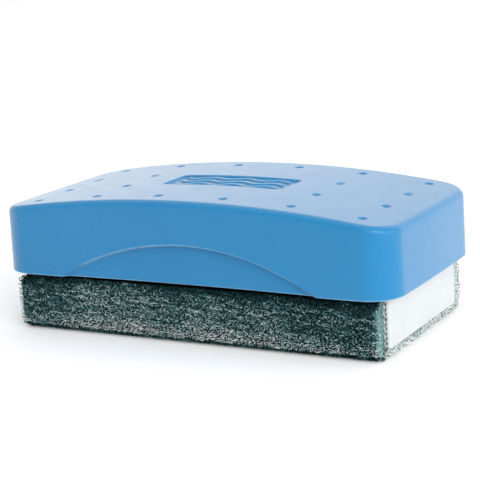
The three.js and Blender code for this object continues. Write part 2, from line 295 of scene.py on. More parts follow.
def knit_material():
    """The backing of the fleece: fine rows of knitted loops."""
    n = Nodes("knit_backing")
    courses = n.add("ShaderNodeTexWave", wave_type="BANDS", bands_direction="X")
    courses.inputs["Scale"].default_value = 260
    courses.inputs["Distortion"].default_value = 1.2
    courses.inputs["Detail Scale"].default_value = 40
    n.link(n.place, courses.inputs["Vector"])
    cross = n.add("ShaderNodeTexWave", wave_type="BANDS", bands_direction="DIAGONAL")
    cross.inputs["Scale"].default_value = 330
    cross.inputs["Distortion"].default_value = 0.8
    n.link(n.place, cross.inputs["Vector"])
    loops = n.math("MULTIPLY", courses.outputs["Fac"], cross.outputs["Fac"])
    colour = n.mix(n.spread(loops, 0.05, 0.7), rgb(0.22, 0.27, 0.27), rgb(0.56, 0.62, 0.60))
    n.link(colour, n.shader.inputs["Base Color"])
    n.link(n.spread(n.noise(900, 3), 0.3, 0.7, 0.8, 0.95), n.shader.inputs["Roughness"])
    n.bump(loops, 0.8, 0.25 * MM)
    return n.material


def nylon_material(name, dark, light):
    n = Nodes(name)
    weave = n.add("ShaderNodeTexWave", wave_type="BANDS", bands_direction="X")
    weave.inputs["Scale"].default_value = 330
    weave.inputs["Distortion"].default_value = 0.6
    n.link(n.place, weave.inputs["Vector"])
    value = n.math("MULTIPLY", weave.outputs["Fac"], n.spread(n.noise(700, 3), 0.2, 0.8, 0.6, 1.0))
    n.link(n.mix(value, dark, light), n.shader.inputs["Base Color"])
    n.link(n.spread(n.noise(500, 3), 0.3, 0.7, 0.4, 0.6), n.shader.inputs["Roughness"])
    n.bump(weave.outputs["Fac"], 0.4, 0.1 * MM)
    return n.material


# ------------------------------------------------------------------ the cover


class Plan:
    """The cover's plan outline moved inwards by an inset: bowed ends, round corners, straight sides."""

    def __init__(self, inset):
        self.end_centre = HALF_LENGTH - END_BOW
        self.corner_y = HALF_WIDTH - CORNER
        reach = END_BOW - CORNER
        self.corner_x = self.end_centre + math.sqrt(reach**2 - self.corner_y**2)
        self.end = END_BOW - inset
        self.corner = CORNER - inset
        self.half_width = HALF_WIDTH - inset
        sweep = math.atan2(self.corner_y, self.corner_x - self.end_centre)
        self.tangent_y = self.end * math.sin(sweep)

    def half_length(self, y):
        """Half the length of the outline at y."""
        y = abs(y)
        if y <= self.tangent_y:
            return self.end_centre + math.sqrt(self.end**2 - y**2)
        rise = min(y - self.corner_y, self.corner)
        return self.corner_x + math.sqrt(self.corner**2 - rise**2)

    def normal(self, x, y):
        """The outward direction at a point of the outline."""
        if abs(x) <= self.corner_x + 1e-9 and abs(y) > self.half_width - 1e-6:
            return (0.0, math.copysign(1, y))
        if abs(y) <= self.tangent_y:
            n = Vector((abs(x) - self.end_centre, abs(y)))
        else:
            n = Vector((abs(x) - self.corner_x, abs(y) - self.corner_y))
        n.normalize()
        return (math.copysign(n.x, x), math.copysign(n.y, y))


CROWN_RADIUS = (HALF_LENGTH**2 + SAG**2) / (2 * SAG)


def crown_at(x):
    return CROWN - CROWN_RADIUS + np.sqrt(CROWN_RADIUS**2 - x**2)


def stations(fine, end, coarse):
    """Places from 0 to end: fine spans (low, high, step) with coarse steps between them."""
    places = [0.0]
    for low, high, step in fine:
        if low > places[-1]:
            gap = low - places[-1]
            count = max(1, round(gap / coarse))
            places += [places[-1] + gap * (k + 1) / count for k in range(count)]
        count = round((high - places[-1]) / step)
        places += [places[-1] + (high - places[-1]) * (k + 1) / count for k in range(count)]
    gap = end - places[-1]
    count = math.ceil(gap / coarse - 1e-6)
    places += [places[-1] + gap * (k + 1) / count for k in range(count)]
    return places


def both_ways(places):
    return [-p for p in reversed(places[1:])] + places


def dimple_places():
    columns, rows = DIMPLE_GRID
    for i in range(columns):
        for j in range(rows):
            x = (i - (columns - 1) / 2) * DIMPLE_PITCH[0]
            y = (j - (rows - 1) / 2) * DIMPLE_PITCH[1]
            if abs(x) > EMBLEM_LENGTH / 2 or abs(y) > EMBLEM_WIDTH:
                yield x, y


def top_relief(x, y):
    """How far the top is cut down at (x, y): dimples, the emblem recess and its waves."""
    drop = np.zeros_like(x)
    ball = (DIMPLE_RADIUS**2 + DIMPLE_DEPTH**2) / (2 * DIMPLE_DEPTH)
    for cx, cy in dimple_places():
        away = np.hypot(x - cx, y - cy)
        inside = away < DIMPLE_RADIUS
        bowl = np.sqrt(np.maximum(ball**2 - away**2, 0)) - (ball - DIMPLE_DEPTH)
        drop = np.where(inside, np.maximum(drop, bowl), drop)
    past_x = np.abs(x) - EMBLEM_LENGTH / 2 + EMBLEM_CORNER
    past_y = np.abs(y) - EMBLEM_WIDTH / 2 + EMBLEM_CORNER
    outside = np.hypot(np.maximum(past_x, 0), np.maximum(past_y, 0))
    outside += np.minimum(np.maximum(past_x, past_y), 0)
    recess = smoothstep((EMBLEM_CORNER - outside) / (0.45 * MM))
    pitch = EMBLEM_WIDTH / (WAVE_LINES + 0.5)
    run = EMBLEM_LENGTH - 6 * MM  # length of a wave line
    pace = 2 * math.pi * WAVES_PER_LINE / run
    wave = np.zeros_like(x)
    for line in range(WAVE_LINES):
        centre = (line - (WAVE_LINES - 1) / 2) * pitch
        swing = centre + WAVE_SWING * np.sin(x * pace)
        slope = WAVE_SWING * pace * np.cos(x * pace)
        beyond = np.maximum(np.abs(x) - run / 2, 0)
        away = np.hypot((y - swing) / np.sqrt(1 + slope**2), beyond)
        wave = np.maximum(wave, smoothstep((WAVE_HALF_WIDTH - away) / (0.4 * MM)))
    floor = EMBLEM_DEPTH - wave * WAVE_HEIGHT
    return np.maximum(drop, recess * floor)


SCOOP_RADIUS = (SCOOP_HALF_SPAN**2 + SCOOP_HEIGHT**2) / (2 * SCOOP_HEIGHT)
SCOOP_CENTRE = RIM + SCOOP_HEIGHT - SCOOP_RADIUS  # height of the arch's centre


def scoop_shape(x, z, growth):
    """How far the long wall stands back at (x, z) for the finger grip."""
    inside = SCOOP_RADIUS + growth - np.hypot(x, z - SCOOP_CENTRE)
    depth = SCOOP_DEPTH - SCOOP_FADE * np.minimum(np.abs(x) / SCOOP_HALF_SPAN, 1.1) ** 2
    return depth * smoothstep((inside + 0.25 * MM) / (0.95 * MM))


def arch_height(x):
    """Height of the scoop's edge at x, kept a little above the rim so that rows never cross."""
    arch = SCOOP_CENTRE + math.sqrt(max(SCOOP_RADIUS**2 - min(abs(x), SCOOP_RADIUS) ** 2, 0))
    low = RIM + 2.2 * MM
    soft = 0.6 * MM
    return low + soft * math.log1p(math.exp(min((arch - low) / soft, 50)))


EMBLEM_STEP = 0.22 * MM  # spacing of the top's stations over the emblem, the dimples and elsewhere
DIMPLE_STEP = 0.17 * MM
TOP_STEP = 0.9 * MM


def cover_grid():
    """x and y stations of the top, finer over the dimples and the emblem."""
    px, py = DIMPLE_PITCH
    reach = 1.5 * MM
    fine_x = [(0.0, EMBLEM_LENGTH / 2 + 0.6 * MM, EMBLEM_STEP)]
    for column in (1.5, 2.5):
        fine_x.append((column * px - reach, column * px + reach, DIMPLE_STEP))
    plan = Plan(EDGE + DRAFT)
    xs = both_ways(stations(fine_x, plan.half_length(0), TOP_STEP))
    fine_y = [(0.0, EMBLEM_WIDTH / 2 + 0.6 * MM, EMBLEM_STEP)]
    fine_y.append((1.5 * py - reach, 1.5 * py + reach, DIMPLE_STEP))
    ys = stations(fine_y, 1.5 * py + reach, TOP_STEP)
    first = math.asin((ys[-1] - plan.corner_y) / plan.corner)
    turns = np.linspace(first, math.pi / 2, 12)[1:]
    ys += [plan.corner_y + plan.corner * math.sin(t) for t in turns]
    return plan, xs, both_ways(ys)


def build_cover(material):
    plan, xs, ys = cover_grid()
    nx, ny = len(xs), len(ys)
    fixed = 44 * MM  # stations within this of the middle keep their x in every row
    reach = plan.half_length(0) - fixed
    x = np.zeros((ny, nx))
    for j, y in enumerate(ys):
        stretch = (plan.half_length(y) - fixed) / reach
        away = np.abs(xs)
        x[j] = np.sign(xs) * np.where(away > fixed, fixed + (away - fixed) * stretch, away)
    y = np.repeat(np.array(ys)[:, None], nx, axis=1)
    z = crown_at(x) - top_relief(x, y)
    points = [np.stack([x, y, z], -1).reshape(-1, 3)]
    painted_edge_highlight = [np.zeros(nx * ny)]
    index = np.arange(nx * ny).reshape(ny, nx)
    quads = [np.stack([index[:-1, :-1], index[:-1, 1:], index[1:, 1:], index[1:, :-1]], -1).reshape(-1, 4)]

    loop = np.concatenate([index[0, :], index[1:, -1], index[-1, -2::-1], index[-2:0:-1, 0]])
    edge = points[0][loop]
    normals = np.array([plan.normal(px, py) for px, py, _ in edge])
    on_side = np.abs(normals[:, 1]) > 1 - 1e-9
    arches = np.array([arch_height(px) for px in edge[:, 0]])
    arches = np.where(on_side, arches, arch_height(2 * SCOOP_HALF_SPAN))

    def outline(outset):
        return edge[:, :2] + normals * outset[:, None]

    def ring(outset, height, growth=None, highlight=0.0):
        flat = outline(outset)
        painted_edge_highlight.append(highlight * np.ones(len(loop)))
        if growth is not None:
            back = np.where(on_side, scoop_shape(flat[:, 0], height, growth), 0)
            flat = flat - normals * back[:, None]
        points.append(np.column_stack([flat, height]))

    full = EDGE + DRAFT
    ones = np.ones(len(loop))
    for turn in np.linspace(0, math.pi / 2, 9)[1:]:
        outset = EDGE * math.sin(turn) * ones
        flat = outline(outset)
        ring(outset, crown_at(flat[:, 0]) - EDGE * (1 - math.cos(turn)))
    wall_top = crown_at(outline(EDGE * ones)[:, 0]) - EDGE
    lip_top = RIM + LIP

    def wall_ring(height, highlight=0.0):
        lean = DRAFT * (height - lip_top) / (wall_top - lip_top)
        ring(full - lean, height, 0.0, highlight)

    near = np.array([0.7, 0.5, 0.36, 0.24, 0.12, 0.0, -0.12, -0.24, -0.36, -0.5, -0.7, -0.95]) * MM
    for t in np.linspace(0, 1, 7)[1:-1]:
        wall_ring(wall_top + (arches + near[0] - wall_top) * t)
    # painted highlight in a thin band just above the scoop's arch edge on the long sides
    on_arch = on_side * smoothstep((arches - RIM - 3.0 * MM) / (1.5 * MM))
    for offset in near:
        shoulder = max(0.0, 1 - abs(offset - 0.12 * MM) / (0.2 * MM))
        wall_ring(arches + offset, on_arch * shoulder)
    for t in np.linspace(0, 1, 9)[1:]:
        wall_ring(arches + near[-1] + (lip_top - arches - near[-1]) * t)
    for turn in np.linspace(0, math.pi / 2, 6)[1:]:
        inset = LIP * (1 - math.cos(turn))
        # painted highlight on the rounding of the lower lip
        ring(full - inset * ones, lip_top - LIP * math.sin(turn) * ones, 0.0, 0.8 * math.sin(2 * turn))
    inner = full - WALL
    ring((inner + 0.3 * MM) * ones, RIM * ones, 0.0)
    ring(inner * ones, (RIM + 0.3 * MM) * ones, 0.0)
    for rise in (2.5, 5.2, 8.0, 10.5, 12.5):
        ring(inner * ones, (RIM + rise * MM) * ones, WALL)
    ring(inner * ones, (RIM + 13.2 * MM) * ones)

    count = len(loop)
    previous = loop
    start = nx * ny
    for _ in points[1:]:
        current = start + np.arange(count)
        quads.append(np.stack([previous, current, np.roll(current, -1), np.roll(previous, -1)], -1))
        previous = current
        start += count
    faces = [tuple(q) for q in np.concatenate(quads)]
    # the ceiling: strips from one long side to the other, and one face over each bowed end
    front = previous[:nx]
    right = previous[nx - 1 : nx + ny - 1]
    back = previous[nx + ny - 2 : 2 * nx + ny - 2][::-1]
    left = np.concatenate([previous[2 * nx + ny - 3 :], previous[:1]])
    for i in range(nx - 1):
        faces.append((front[i + 1], front[i], back[i], back[i + 1]))
    faces.append(tuple(right[::-1]))
    faces.append(tuple(left[::-1]))
    cover = new_mesh("cover_body", np.concatenate(points), faces)
    add_attribute(cover, "painted_edge_highlight", np.concatenate(painted_edge_highlight))
    return finish_piece(cover, "main", material, ["cover_shell"])


# ------------------------------------------------------------------ the fleece pad

PILE = 1.2 * MM  # how far the tufts stand out of the dense pile below them
PAD_EDGE = 3.8 * MM  # rounding of the pad's lower edges
PAD_LIP = 1.6 * MM  # rounding of its upper edges
BACKING = 0.5 * MM  # thickness of the knitted backing
BACKING_TOP = pad_high.z - 0.5 * MM
BACKING_BASE = pad_low.z + 2.2 * MM  # where the tray rests on it
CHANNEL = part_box("hook_tape_rear")[1].y + 0.3 * MM  # half the width left for the tray
LEFT_END = pad_low.x + 0.5 * MM  # the pile is cut a little closer at its left end
RIGHT_END = pad_high.x
FINE_PITCH = 0.45 * MM  # tufts on the two sides
UNDER_PITCH = 0.6 * MM  # tufts on the underside
END_PITCH = 0.5 * MM  # fibres at the cut ends
STITCH_PITCH = 1.25 * MM


def add_tube_faces(faces, start, sides, rings):
    """Faces of a tube whose rings of points begin at start, closed at its far end."""
    for i in range(rings - 1):
        for k in range(sides):
            a, b = start + i * sides + k, start + i * sides + (k + 1) % sides
            faces.append((a, b, b + sides, a + sides))
    faces.append(tuple(start + (rings - 1) * sides + k for k in range(sides)))


class PadSection:
    """The pad's outer surface in its end view, as a path from the front top to the rear top."""

    def __init__(self, inset):
        self.width = pad_high.y - inset
        self.low = pad_low.z + inset * 0.45
        self.top = pad_high.z - inset * 1.3
        self.edge = PAD_EDGE - inset * 0.5
        self.lip_run = PAD_LIP * math.pi / 2
        self.side_run = self.top - PAD_LIP - (self.low + self.edge)
        self.under_start = self.lip_run + self.side_run + self.edge * math.pi / 2
        self.length = 2 * (self.under_start + self.width - self.edge)

    def at(self, s):
        """Point (y, z) and outward normal at distance s along the path; the rear mirrors the front."""
        if s > self.length / 2:
            (y, z), (normal_y, normal_z) = self.at(self.length - s)
            return (-y, z), (-normal_y, normal_z)
        if s <= self.lip_run:
            return self.arc(PAD_LIP, self.top - PAD_LIP, math.pi / 2 + s / PAD_LIP)
        if s <= self.lip_run + self.side_run:
            return (-self.width, self.top - PAD_LIP - (s - self.lip_run)), (-1.0, 0.0)
        if s <= self.under_start:
            turned = (s - self.lip_run - self.side_run) / self.edge
            return self.arc(self.edge, self.low + self.edge, math.pi + turned)
        return (self.edge - self.width + s - self.under_start, self.low), (0.0, -1.0)

    def arc(self, radius, centre_z, angle):
        """A point and normal on a rounded edge of the front side."""
        normal = (math.cos(angle), math.sin(angle))
        return (radius - self.width + radius * normal[0], centre_z + radius * normal[1]), normal


def tufts(name, roots, normals, leans, lengths, widths, tones, root_light=0.0):
    """Many small bent tapering tufts as one mesh: two rings of three points and a tip each."""
    count = len(roots)
    floor = pad_low.z
    rise, reach = 0.55, 0.75  # of the tip, along the normal and along the lean
    tips = roots + (normals * rise + leans * reach) * lengths[:, None]
    rise, reach = 0.45, 0.18  # of the bend between root and tip
    middle = roots + (normals * rise + leans * reach) * lengths[:, None]
    middle[:, 2] = np.maximum(middle[:, 2], floor + 0.10 * MM)
    tips[:, 2] = np.maximum(tips[:, 2], floor)
    axis = tips - roots
    axis /= np.linalg.norm(axis, axis=1)[:, None]
    helper = np.where(np.abs(axis[:, :1]) < 0.8, [[1.0, 0, 0]], [[0, 1.0, 0]])
    u = np.cross(axis, helper)
    u /= np.linalg.norm(u, axis=1)[:, None]
    v = np.cross(axis, u)
    spin = rng.uniform(0, 2 * math.pi, count)
    rings = []
    for centre, size in ((roots, 1.0), (middle, 0.9)):
        for corner in range(3):
            a = spin + corner * 2 * math.pi / 3
            offset = u * np.cos(a)[:, None] + v * np.sin(a)[:, None]
            rings.append(centre + offset * (widths * size)[:, None])
    points = np.stack([*rings, tips], 1)
    points[:, :, 2] = np.maximum(points[:, :, 2], floor)
    per_tuft = points.shape[1]
    base = (np.arange(count) * per_tuft)[:, None]
    shape = [(0, 1, 4, 3), (1, 2, 5, 4), (2, 0, 3, 5)]
    quads = np.concatenate([base + np.array(q) for q in shape])
    caps = np.concatenate([base + np.array(t) for t in ((3, 4, 6), (4, 5, 6), (5, 3, 6), (2, 1, 0))])
    piece = new_mesh(name, points.reshape(-1, 3), [*quads.tolist(), *caps.tolist()])
    # painted shade along each tuft: the root ring at root_light, the middle ring at least 0.6, the tip
    # unshaded
    light = [root_light] * 3 + [max(root_light, 0.6)] * 3 + [1.0]
    add_attribute(piece, "tone", np.repeat(tones, per_tuft))
    add_attribute(piece, "tip", np.tile(light, count))
    return piece


def drift(x, s, length):
    """A smooth random field between about -1 and 1 over the pile, with swells of the given length."""
    waves = 9
    total = np.zeros(len(x))
    for _ in range(waves):
        heading = rng.uniform(0, 2 * math.pi)
        pace = 2 * math.pi / (length * rng.uniform(0.6, 1.5))
        across = pace * (x * math.cos(heading) * 0.6 + s * math.sin(heading))
        total += np.sin(across + rng.uniform(0, 2 * math.pi))
    return total / 4


def pile_on_section(name, s_low, s_high, section, tone_at, pitch, lean_out):
    """Tufts over a stretch of the pad's outer surface, for its whole length.

    lean_out is how far they lean away from the middle of the underside: outwards, then up the sides.
    """
    rows = round((s_high - s_low) / pitch)
    columns = round((RIGHT_END - LEFT_END) / pitch)
    step = (RIGHT_END - LEFT_END) / columns
    roots, normals, away, along_path = [], [], [], []
    for row in range(rows):
        for column in range(columns):
            s = s_low + (row + 0.5 + rng.uniform(-0.45, 0.45)) * (s_high - s_low) / rows
            x = LEFT_END + (column + 0.5 + rng.uniform(-0.45, 0.45)) * step
            (y, z), (ny, nz) = section.at(s)
            roots.append((x, y, z))
            normals.append((0, ny, nz))
            side = -1 if y < 0 else 1
            away.append((0, -side * nz, side * ny))
            along_path.append(s)
    roots, normals, away, along_path = (np.array(v) for v in (roots, normals, away, along_path))
    count = len(roots)
    clump = drift(roots[:, 0], along_path, 1.5 * MM)
    broad = drift(roots[:, 0], along_path, 22 * MM)
    course = drift(roots[:, 0] * 0.12, along_path, 1.7 * MM)
    turn = 1.1 * drift(roots[:, 0], along_path, 3.5 * MM) + rng.normal(0, 0.5, count)
    near_end = np.abs(roots[:, 0]) > RIGHT_END - 1.5 * MM
    outward = near_end & (np.sin(turn) * roots[:, 0] > 0)
    sideways = np.sin(turn) * np.where(outward, 0.2, 1.0)
    along = np.column_stack([sideways, np.zeros(count), np.zeros(count)])
    leans = along + away * (np.cos(turn) * lean_out)[:, None]
    lengths = PILE * rng.uniform(0.75, 1.15, count) * (1 + 0.25 * np.clip(clump, -1, 1))
    lengths *= np.where(roots[:, 0] < LEFT_END + 1.2 * MM, 0.6, 1.0)
    widths = pitch * rng.uniform(0.27, 0.40, count)
    tones = tone_at(roots) + 0.20 * clump + 0.12 * course + 0.05 * broad + rng.normal(0, 0.16, count)
    return tufts(name, roots, normals, leans, lengths, widths, np.clip(tones, 0, 1))


def side_tone(roots):
    """The pile's tone on its sides. Painted light makes it paler where it turns under and at its cut ends;
    it is also paler at the middle left.

    Painted shade makes it darker near its top, darkest just under the cover's rim, and a painted contact
    shadow darkens its lowest millimetres; it is also darker to the right and at the left.
    """
    x, z = roots[:, 0], roots[:, 2]
    # painted light: the low band of the pile, where it turns under, is paler
    under = smoothstep((6.5 * MM - z) / (4.5 * MM))
    left = smoothstep((-x - 25 * MM) / (28 * MM))
    # painted contact shadow: the lowest millimetres of pile turn nearly black
    contact_shadow = smoothstep((1.8 * MM - z) / (0.5 * MM))
    patch = np.exp(-(((x + 22 * MM) / (14 * MM)) ** 2))
    right = smoothstep((x - 12 * MM) / (24 * MM))
    # painted shade under the cover's rim: darker towards the top, darkest in the last 1.2 mm
    top = smoothstep((z - 9.5 * MM) / (4 * MM))
    rim_shade = smoothstep((z - 12.6 * MM) / (1.2 * MM))
    # painted light: paler at the cut ends, paler still on the rear side
    cut = smoothstep((np.abs(x) - 50 * MM) / (2.5 * MM))
    rear_end_light = np.where(roots[:, 1] > 0, 0.5, 0.0)
    length_wise = 0.13 * patch - 0.10 * right - 0.22 * left + (0.16 + rear_end_light) * cut
    return 0.44 + 0.36 * under - 0.8 * contact_shadow - 0.12 * top - 0.4 * rim_shade + length_wise


def under_tone(roots):
    return np.full(len(roots), 0.6)


def pile_mass(material):
    """The dense pile under the tufts: the pad's section swept along its length, with ragged relief."""
    outer = PadSection(PILE * 0.8)
    steps = np.linspace(0, outer.length, 90)
    path = [outer.at(s)[0] for s in steps]
    normal = [outer.at(s)[1] for s in steps]
    inner_y = CHANNEL + BACKING + 0.35 * MM
    floor = pad_low.z + 1.3 * MM
    crest = BACKING_TOP + 0.2 * MM
    back = [(inner_y, crest), (inner_y, floor), (-inner_y, floor), (-inner_y, crest)]
    section = path + back
    left, right = LEFT_END + 0.7 * MM, RIGHT_END - 0.7 * MM
    xs = np.linspace(left, right, 160)
    ring = len(section)
    points = []
    for x in xs:
        for k, (y, z) in enumerate(section):
            if k < len(path):
                dent = rng.uniform(0, 0.25) * MM
                points.append((x, y - normal[k][0] * dent, z - normal[k][1] * dent))
            else:
                points.append((x, y, z))
    faces = []
    for i in range(len(xs) - 1):
        for k in range(ring):
            a, b = i * ring + k, i * ring + (k + 1) % ring
            faces.append((a, b, b + ring, a + ring))
    faces.append(tuple(range(ring - 1, -1, -1)))
    faces.append(tuple((len(xs) - 1) * ring + k for k in range(ring)))
    piece = new_mesh("fleece_mass", points, faces)
    cut = np.array([p[0] < left + 0.1 * MM or p[0] > right - 0.1 * MM for p in points])
    # painted shade: the mass beneath the tufts is dark and deeply shaded; painted light makes its cut end
    # faces paler
    add_attribute(piece, "tone", np.where(cut, 0.55, 0.25))
    add_attribute(piece, "tip", np.where(cut, 0.8, 0.1))
    return finish_piece(piece, "pad", material)


def build_backing(material):
    """The knitted backing: a thin channel of cloth against the tray."""
    bend = 0.8 * MM
    turns = np.linspace(0, math.pi / 2, 7)

    def channel(half, base, radius):
        """The cloth's path: down one side, over the base and up the other side."""
        right = [(half - radius + radius * math.sin(t), base + radius - radius * math.cos(t)) for t in turns]
        right.append((half, BACKING_TOP))
        left = [(-y, z) for y, z in reversed(right)]
        return left + [(y, base) for y in np.linspace(radius - half, half - radius, 30)[1:-1]] + right

    inside = channel(CHANNEL, BACKING_BASE, bend)
    outside = channel(CHANNEL + BACKING, BACKING_BASE - BACKING, bend + BACKING)
    section = inside + outside[::-1]
    xs = np.linspace(LEFT_END + 0.15 * MM, RIGHT_END - 0.15 * MM, 120)
    ring = len(section)
    points = [(x, y, z) for x in xs for y, z in section]
    faces = []
    for i in range(len(xs) - 1):
        for k in range(ring):
            a, b = i * ring + k, i * ring + (k + 1) % ring
            faces.append((b, a, a + ring, b + ring))
    half = len(inside)
    last = (len(xs) - 1) * ring
    for k in range(half - 1):
        mate = ring - 1 - k
        faces.append((k, k + 1, mate - 1, mate))
        faces.append((last + k + 1, last + k, last + mate, last + mate - 1))
    piece = new_mesh("fleece_backing", points, faces, smooth=False)
    return finish_piece(piece, "pad", material)


def stitch_places(under):
    """Places (y, z) of the stitches at a cut end: up the backing's sides, or along its base."""
    inner = CHANNEL + BACKING * 0.6
    base = BACKING_BASE - BACKING * 0.4
    if under:
        span = round(2 * inner / STITCH_PITCH)
        return [(-inner + (k + 0.5) * 2 * inner / span, base) for k in range(span)]
    height = BACKING_TOP - 0.3 * MM - base
    rise = round(height / STITCH_PITCH)
    return [(side * inner, base + (k + 0.5) * height / rise) for side in (-1, 1) for k in range(rise)]


def edge_stitches(name, under, yarn_radius, material):
    """Half loops of thread over the backing's two cut ends."""
    points, faces = [], []
    sides, steps = 6, 7
    run_axis, across = Vector((0, 1, 0)), Vector((0, 0, 1))
    if not under:
        run_axis, across = across, run_axis
    for end in (-1, 1):
        x0 = RIGHT_END - 0.25 * MM if end > 0 else LEFT_END + 0.25 * MM
        for y, z in stitch_places(under):
            bend = 0.30 * MM * rng.uniform(0.8, 1.2)
            yarn = yarn_radius * rng.uniform(0.85, 1.15)
            skew = rng.uniform(-0.25, 0.25)
            start = len(points)
            for i in range(steps):
                a = math.pi * i / (steps - 1)
                out = Vector((end * math.sin(a) * bend * 1.25, 0, 0))
                middle = Vector((x0, y, z)) + out - (run_axis + across * skew) * (math.cos(a) * bend)
                along = Vector((end * math.cos(a), 0, 0)) + run_axis * math.sin(a)
                other = along.normalized().cross(across)
                for k in range(sides):
                    b = 2 * math.pi * k / sides
                    points.append(middle + across * (yarn * math.cos(b)) + other * (yarn * math.sin(b)))
            add_tube_faces(faces, start, sides, steps)
            faces.append(tuple(start + k for k in reversed(range(sides))))
    piece = new_mesh(name, points, faces)
    return finish_piece(piece, "pad", material)


def end_pile(material):
    """The pile's cut ends: fibres that stand out of the ends of the pad, longest under the tray, made pale
    with painted light.
    """
    roots, leans, tones, reach = [], [], [], []
    inner = CHANNEL + BACKING + 0.2 * MM
    outer = PadSection(PILE * 0.9)
    corner_y, corner_z = outer.width - outer.edge, outer.low + outer.edge
    for end in (-1, 1):
        for side in (-1, 1):
            for y in np.arange(inner, outer.width, END_PITCH):
                slope = (outer.width - y) / (outer.width - inner)
                highest = outer.top + slope * (BACKING_TOP - outer.top)
                for z in np.arange(outer.low, highest, END_PITCH):
                    beyond = math.hypot(max(y - corner_y, 0), min(z - corner_z, 0))
                    if y > corner_y and z < corner_z and beyond > outer.edge:
                        continue
                    roots.append((end, side * y, z))
                    leans.append((0, side * 0.75, -0.25))
                    # painted light: full pale tone on the rear side and under the tray, less on the front
                    # side
                    tones.append(0.48 if side < 0 else 1.0)
                    reach.append(0.75 if end > 0 else 0.3)
        for y in np.arange(-inner, inner, END_PITCH):
            for z in np.arange(outer.low, BACKING_BASE - 0.3 * MM, END_PITCH * 0.7):
                roots.append((end, y, z))
                leans.append((0, rng.normal(0, 0.2), -0.3))
                tones.append(1.0)
                reach.append(1.9)
    roots, leans, tones = np.array(roots), np.array(leans), np.array(tones)
    count = len(roots)
    ends = roots[:, 0].copy()
    sunk = 0.95 * MM  # how far inside the pad's end the fibres are rooted
    roots[:, 0] = np.where(ends > 0, RIGHT_END - sunk, LEFT_END + sunk)
    roots[:, 1:] += rng.uniform(-0.2, 0.2, (count, 2)) * MM
    normals = np.column_stack([ends, np.zeros(count), np.zeros(count)])
    leans += rng.normal(0, 0.3, (count, 3))
    leans[:, 2] = np.minimum(leans[:, 2], 0)
    lengths = PILE * np.array(reach) * rng.uniform(0.8, 1.25, count)
    widths = rng.uniform(0.12, 0.2, count) * MM
    tones = np.clip(tones + rng.normal(0, 0.16, count), 0, 1)
    # little painted shade at these fibres' roots
    piece = tufts("fleece_ends", roots, normals, leans, lengths, widths, tones, 0.75)
    return finish_piece(piece, "pad", material)


def build_fleece():
    pile = pile_material()
    knit = knit_material()
    section = PadSection(PILE * 0.75)
    turn, whole = section.under_start, section.length
    mass = pile_mass(pile)
    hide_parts("fleece_pad")
    front = pile_on_section("fleece_front", 0, turn, section, side_tone, FINE_PITCH, 0.6)
    rear = pile_on_section("fleece_rear", whole - turn, whole, section, side_tone, FINE_PITCH, 0.6)
    under = pile_on_section("fleece_under", turn, whole - turn, section, under_tone, UNDER_PITCH, 1.0)
    for piece in (front, rear, under):
        finish_piece(piece, "pad", pile)
    ends = end_pile(pile)
    backing = build_backing(knit)
    dark_thread = nylon_material("side_thread", rgb(0.01, 0.015, 0.018), rgb(0.05, 0.07, 0.075))
    pale_thread = nylon_material("base_thread", rgb(0.34, 0.38, 0.38), rgb(0.55, 0.58, 0.58))
    side_stitches = edge_stitches("side_stitches", False, 0.13 * MM, dark_thread)
    base_stitches = edge_stitches("base_stitches", True, 0.09 * MM, pale_thread)


# ------------------------------------------------------------------ hook tape, foam and hidden pieces

WEAVE = 0.2 * MM  # thickness of the tape's woven strip
HOOK_PITCH = 1.5 * MM

def hooks(name, spots, normal, up):
    """Rows of small nylon hooks: each is a bent stalk with a turned-over tip."""
    profile = [(0, 0), (0.0, 0.14), (0.03, 0.22), (0.10, 0.26), (0.16, 0.22)]  # mm along, mm out
    radius = 0.045 * MM
    sides = 4
    points, faces = [], []
    n, u = Vector(normal), Vector(up)
    w = n.cross(u)
    for k, spot in enumerate(spots):
        turn = 1 if k % 2 else -1
        start = len(points)
        for run, rise in profile:
            centre = Vector(spot) + u * (run * turn * MM) + n * (rise * MM)
            other = u if rise < 0.2 else n
            for c in range(sides):
                a = 2 * math.pi * c / sides
                points.append(centre + w * (radius * math.cos(a)) + other * (radius * math.sin(a)))
        add_tube_faces(faces, start, sides, len(profile))
    return new_mesh(name, points, faces)


def tape_sheet(name, low, high, thin, outward):
    """The tape's woven strip: thin along one axis, against the tray."""
    low, high = Vector(low), Vector(high)
    if outward > 0:
        high[thin] = low[thin] + WEAVE
    else:
        low[thin] = high[thin] - WEAVE
    size = high - low
    cuts = [max(2, round(size[a] / (2 * MM))) if a != thin else 1 for a in range(3)]
    a, b = [axis for axis in range(3) if axis != thin]
    points, faces = [], []
    for layer in (0, 1):
        for i in range(cuts[a] + 1):
            for j in range(cuts[b] + 1):
                p = Vector(low)
                p[thin] = low[thin] + size[thin] * layer
                p[a] = low[a] + size[a] * i / cuts[a]
                p[b] = low[b] + size[b] * j / cuts[b]
                points.append(p)
    row, sheet = cuts[b] + 1, (cuts[a] + 1) * (cuts[b] + 1)
    for i in range(cuts[a]):
        for j in range(cuts[b]):
            q = (i * row + j, (i + 1) * row + j, (i + 1) * row + j + 1, i * row + j + 1)
            faces.append(q[::-1])
            faces.append(tuple(sheet + k for k in q))
    rim = [i * row for i in range(cuts[a] + 1)] + [cuts[a] * row + j for j in range(1, row)]
    rim += [i * row + cuts[b] for i in reversed(range(cuts[a]))] + [j for j in reversed(range(1, cuts[b]))]
    for k, r in enumerate(rim):
        s = rim[(k + 1) % len(rim)]
        faces.append((r, s, s + sheet, r + sheet))
    return new_mesh(name, points, faces, smooth=False)


